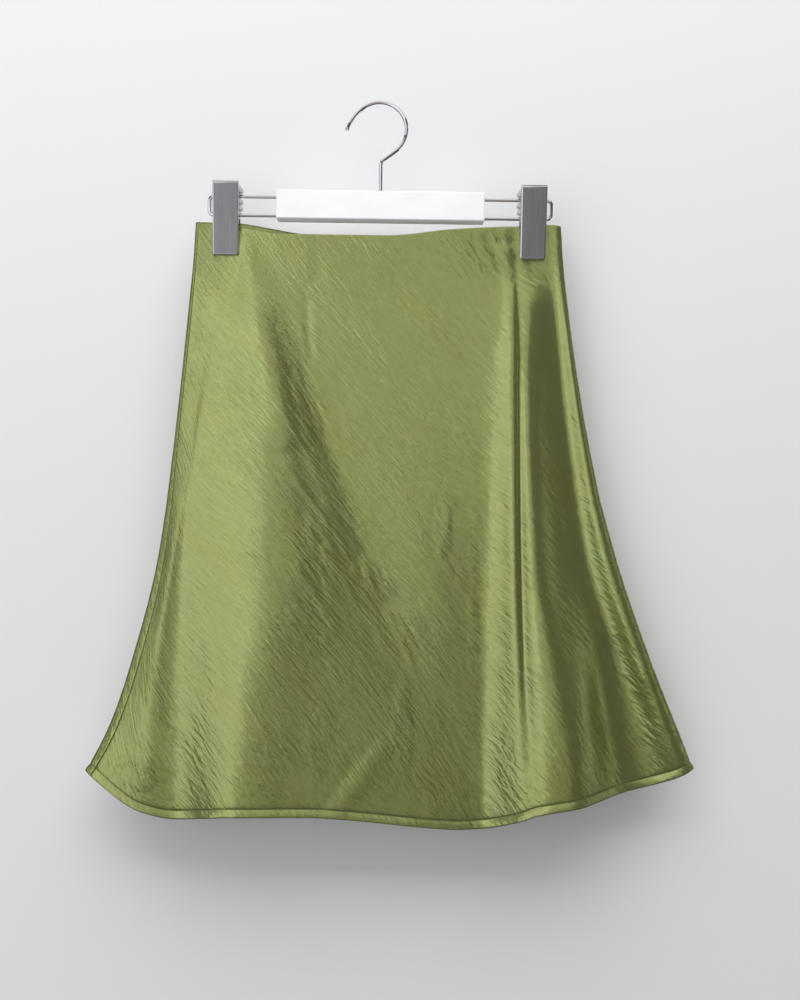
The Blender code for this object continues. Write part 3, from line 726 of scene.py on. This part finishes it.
def makeJaw(side, facing):
    # a pressed steel tray: a cube without its inner face, with rounded rims and a wall
    word = "front" if facing < 0 else "back"
    low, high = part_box(f"{side}_clip_{word}_jaw")
    width = high[0] - low[0]
    height = (high[2] - low[2]) / math.cos(math.radians(clipShape["tilt"]))
    depth = clipShape["depth"] * mm
    bpy.ops.object.select_all(action="DESELECT")
    bpy.ops.mesh.primitive_cube_add(size=1, location=(0, -depth / 2, height / 2), scale=(width, depth, height))
    jaw = bpy.context.object
    jaw.name = f"{side}Clip{word.capitalize()}Jaw"
    bpy.ops.object.transform_apply()
    bpy.ops.object.mode_set(mode="EDIT")
    bpy.ops.mesh.select_mode(type="FACE")
    shape = bmesh.from_edit_mesh(jaw.data)
    for face in shape.faces:
        face.select = face.normal.y > 0.9
    bmesh.update_edit_mesh(jaw.data)
    bpy.ops.mesh.delete(type="FACE")
    bpy.ops.mesh.select_mode(type="EDGE")
    tiny = 0.1 * mm
    pickEdges(lambda a, b: abs(a.x - b.x) < tiny and max(a.z, b.z) < tiny and abs(a.y - b.y) > tiny)
    bpy.ops.mesh.bevel(offset=clipShape["corner"] * mm, segments=6, affect="EDGES")
    pickEdges(lambda a, b: max(a.y, b.y) < -depth + tiny and min(a.z, b.z) > height - tiny)
    bpy.ops.mesh.bevel(offset=clipShape["topBend"] * mm, segments=5, affect="EDGES")
    bend = height - clipShape["topBend"] * mm
    pickEdges(lambda a, b: max(a.y, b.y) < -depth + tiny and min(a.z, b.z) < bend - tiny)
    bpy.ops.mesh.bevel(offset=clipShape["bend"] * mm, segments=4, affect="EDGES")
    bpy.ops.object.mode_set(mode="OBJECT")
    wall = jaw.modifiers.new("wall", "SOLIDIFY")
    wall.thickness = clipShape["wall"] * mm
    wall.offset = -1
    bpy.ops.object.modifier_apply(modifier="wall")
    bpy.ops.object.shade_smooth_by_angle(angle=math.radians(40))
    jaw.modifiers.new("flat faces", "WEIGHTED_NORMAL").keep_sharp = True
    bpy.ops.object.modifier_apply(modifier="flat faces")
    jaw.rotation_euler = (math.radians(clipShape["tilt"]), 0, math.pi * (facing > 0))
    jaw.location = ((low[0] + high[0]) / 2, facing * clipShape["seat"] * mm, low[2])
    bpy.ops.object.transform_apply()
    jaw.data.materials.append(finishes["brushed clip steel"])
    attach(jaw, "root")
    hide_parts(f"{side}_clip_{word}_jaw")


springShape = {
    "lobes": ((-84.6, 2.3), (-95.2, 2.5), (-101.4, 2.2)),  # height and radius, mm
    "reach": 0.9,  # mm past the clip's edge to a lobe's middle
    "length": 7.0,
    "edge": 0.5,
}


def makeSpring(side, inward):
    # rounded lobes of bright steel beside the saddle, between the eyes for the rods
    low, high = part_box(side + "_clip_saddle")
    x = (high[0] if inward > 0 else low[0]) + inward * springShape["reach"] * mm
    lobes = []
    for z, radius in springShape["lobes"]:
        bpy.ops.object.select_all(action="DESELECT")
        bpy.ops.mesh.primitive_cylinder_add(vertices=24, radius=radius * mm, depth=springShape["length"] * mm,
                                            location=(x, 0, z * mm), rotation=(math.pi / 2, 0, 0))
        bpy.ops.object.mode_set(mode="EDIT")
        bpy.ops.mesh.select_mode(type="EDGE")
        reach = springShape["length"] / 2 * mm
        pickEdges(lambda a, b: abs(a.z) > 0.9 * reach and abs(a.z - b.z) < 0.1 * reach)
        bpy.ops.mesh.bevel(offset=springShape["edge"] * mm, segments=3, affect="EDGES")
        bpy.ops.object.mode_set(mode="OBJECT")
        lobes.append(bpy.context.object)
    for lobe in lobes:
        lobe.select_set(True)
    bpy.ops.object.join()
    spring = bpy.context.object
    spring.name = side + "ClipSpring"
    bpy.ops.object.transform_apply()
    bpy.ops.object.shade_smooth_by_angle(angle=math.radians(40))
    spring.data.materials.append(finishes["chrome wire"])
    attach(spring, "root")


for side, inward in (("left", 1), ("right", -1)):
    makeJaw(side, -1)
    makeJaw(side, 1)
    makeSpring(side, inward)
print("clips made")

nodeFinish = {"bar": "white paint", "pad": "clip rubber"}
for name, node in nodes.items():
    if not name.endswith(("_panel", "_hem", "_jaw")):
        node.data.materials.clear()
        node.data.materials.append(finishes[nodeFinish.get(name.split("_")[-1], "chrome wire")])
print("hanger finished")

cameraPlace = {"x": 0.0242, "distance": 1.05, "z": -0.3757, "lens": 39.789, "roll": 0.8}  # m, mm, degrees
bpy.ops.object.camera_add(location=(cameraPlace["x"], -cameraPlace["distance"], cameraPlace["z"]),
                          rotation=(math.radians(90), -math.radians(cameraPlace["roll"]), 0))
camera = bpy.context.object
camera.data.lens = cameraPlace["lens"]
camera.data.sensor_width = 36
bpy.context.scene.camera = camera

stage = {"wall": 0.045, "floor": -1.9, "front": 1.1, "reach": 6.0, "bend": 0.5, "colour": (0.80, 0.80, 0.815)}


def makeStage():
    # a pale paper sweep that stands close behind the skirt, and can't be seen from behind
    material, tree, links, shader = newMaterial("pale studio paper", stage["colour"], 0.9)
    clear = tree.new("ShaderNodeBsdfTransparent")
    facing = tree.new("ShaderNodeNewGeometry")
    path = tree.new("ShaderNodeLightPath")
    either = tree.new("ShaderNodeMath")
    either.operation = "MAXIMUM"
    links.new(facing.outputs["Backfacing"], either.inputs[0])
    links.new(path.outputs["Is Shadow Ray"], either.inputs[1])
    choose = tree.new("ShaderNodeMixShader")
    links.new(either.outputs["Value"], choose.inputs["Fac"])
    links.new(shader.outputs["BSDF"], choose.inputs[1])
    links.new(clear.outputs["BSDF"], choose.inputs[2])
    links.new(choose.outputs["Shader"], tree["Material Output"].inputs["Surface"])
    wall, floor, front, reach, bend = (stage[key] for key in ("wall", "floor", "front", "reach", "bend"))
    profile = [(wall, reach)]
    for step in range(13):
        angle = math.radians(90 * step / 12)
        profile.append((wall - bend + bend * math.cos(angle), floor + bend - bend * math.sin(angle)))
    profile.append((-front, floor))
    rows = [[(x, y, z) for x in (-reach, reach)] for y, z in profile]
    mesh = bpy.data.meshes.new("paperSweep")
    mesh.from_pydata(sum(rows, []), [], [(2 * i, 2 * i + 2, 2 * i + 3, 2 * i + 1) for i in range(len(rows) - 1)])
    mesh.materials.append(material)
    mesh.shade_smooth()
    sweep = bpy.data.objects.new("paperSweep", mesh)
    bpy.context.scene.collection.objects.link(sweep)
    sweep.visible_glossy = False  # so that the cloth's back mirrors the room behind it


makeStage()

# place, what it faces, width and height in metres, power in watts, colour
lights = {
    "window on the left": ((-1.93, -2.3, -0.25), (0, 0, -0.4), (2.4, 3.5), 25, (0.97, 0.99, 1.06)),
    "far end of the window": ((-3.0, -0.35, -0.3), (0, 0, -0.4), (0.5, 2.2), 3.4, (0.97, 0.99, 1.06)),
    "room behind the camera": ((-0.4, -3.6, 0.8), (-0.1, 0, -0.3), (2.65, 2.9), 12.95, (1, 1, 1)),
    "room on the right": ((0.95, -3.75, 1.0), (0, 0, -0.3), (1.0, 0.7), 0.9, (1, 1, 1)),
    "low bounce": ((0.5, -3.3, -1.35), (0, 0, -0.5), (1.5, 1.3), 1.95, (1, 0.93, 0.82)),
    "low bounce on the left": ((-0.75, -3.25, -1.35), (0, 0, -0.5), (1.0, 1.3), 2.12, (0.95, 1, 0.92)),
    "far side of the room": ((3.0, -0.35, -0.3), (0, 0, -0.4), (0.5, 2.2), 2.0, (1, 1, 1)),
    "ceiling": ((0.0, -1.4, 1.95), (0, 0, -0.45), (3.6, 2.0), 74, (1, 1, 1)),
    "shine of the ceiling": ((0.0, -1.4, 1.93), (0, 0, -0.45), (3.6, 2.0), 19, (1, 1, 1)),
    "window behind": ((1.9, 2.2, -0.2), (0, 0, -0.4), (2.0, 3.0), 17, (0.97, 0.99, 1.06)),
    "room behind the back": ((-0.2, 3.4, 0.1), (-0.1, 0, -0.3), (2.8, 3.6), 15.0, (1, 1, 1)),
}
for name, (place, target, size, power, colour) in lights.items():
    bpy.ops.object.light_add(type="AREA", location=place)
    light = bpy.context.object
    light.name = name
    light.data.shape = "RECTANGLE"
    light.data.size, light.data.size_y = size
    light.data.energy = power
    light.data.color = colour
    light.rotation_euler = (Vector(target) - Vector(place)).to_track_quat("-Z", "Y").to_euler()
    light.visible_glossy = name != "ceiling"  # the satin and the steel mirror only its fainter shine

room = {"colour": (1.0, 0.98, 0.94), "strength": 0.1}
world = bpy.data.worlds.new("studio")
bpy.context.scene.world = world
world.use_nodes = True
world.node_tree.nodes["Background"].inputs["Color"].default_value = (*room["colour"], 1)
world.node_tree.nodes["Background"].inputs["Strength"].default_value = room["strength"]
bpy.context.scene.view_settings.view_transform = "Standard"
print("stage and lights set")
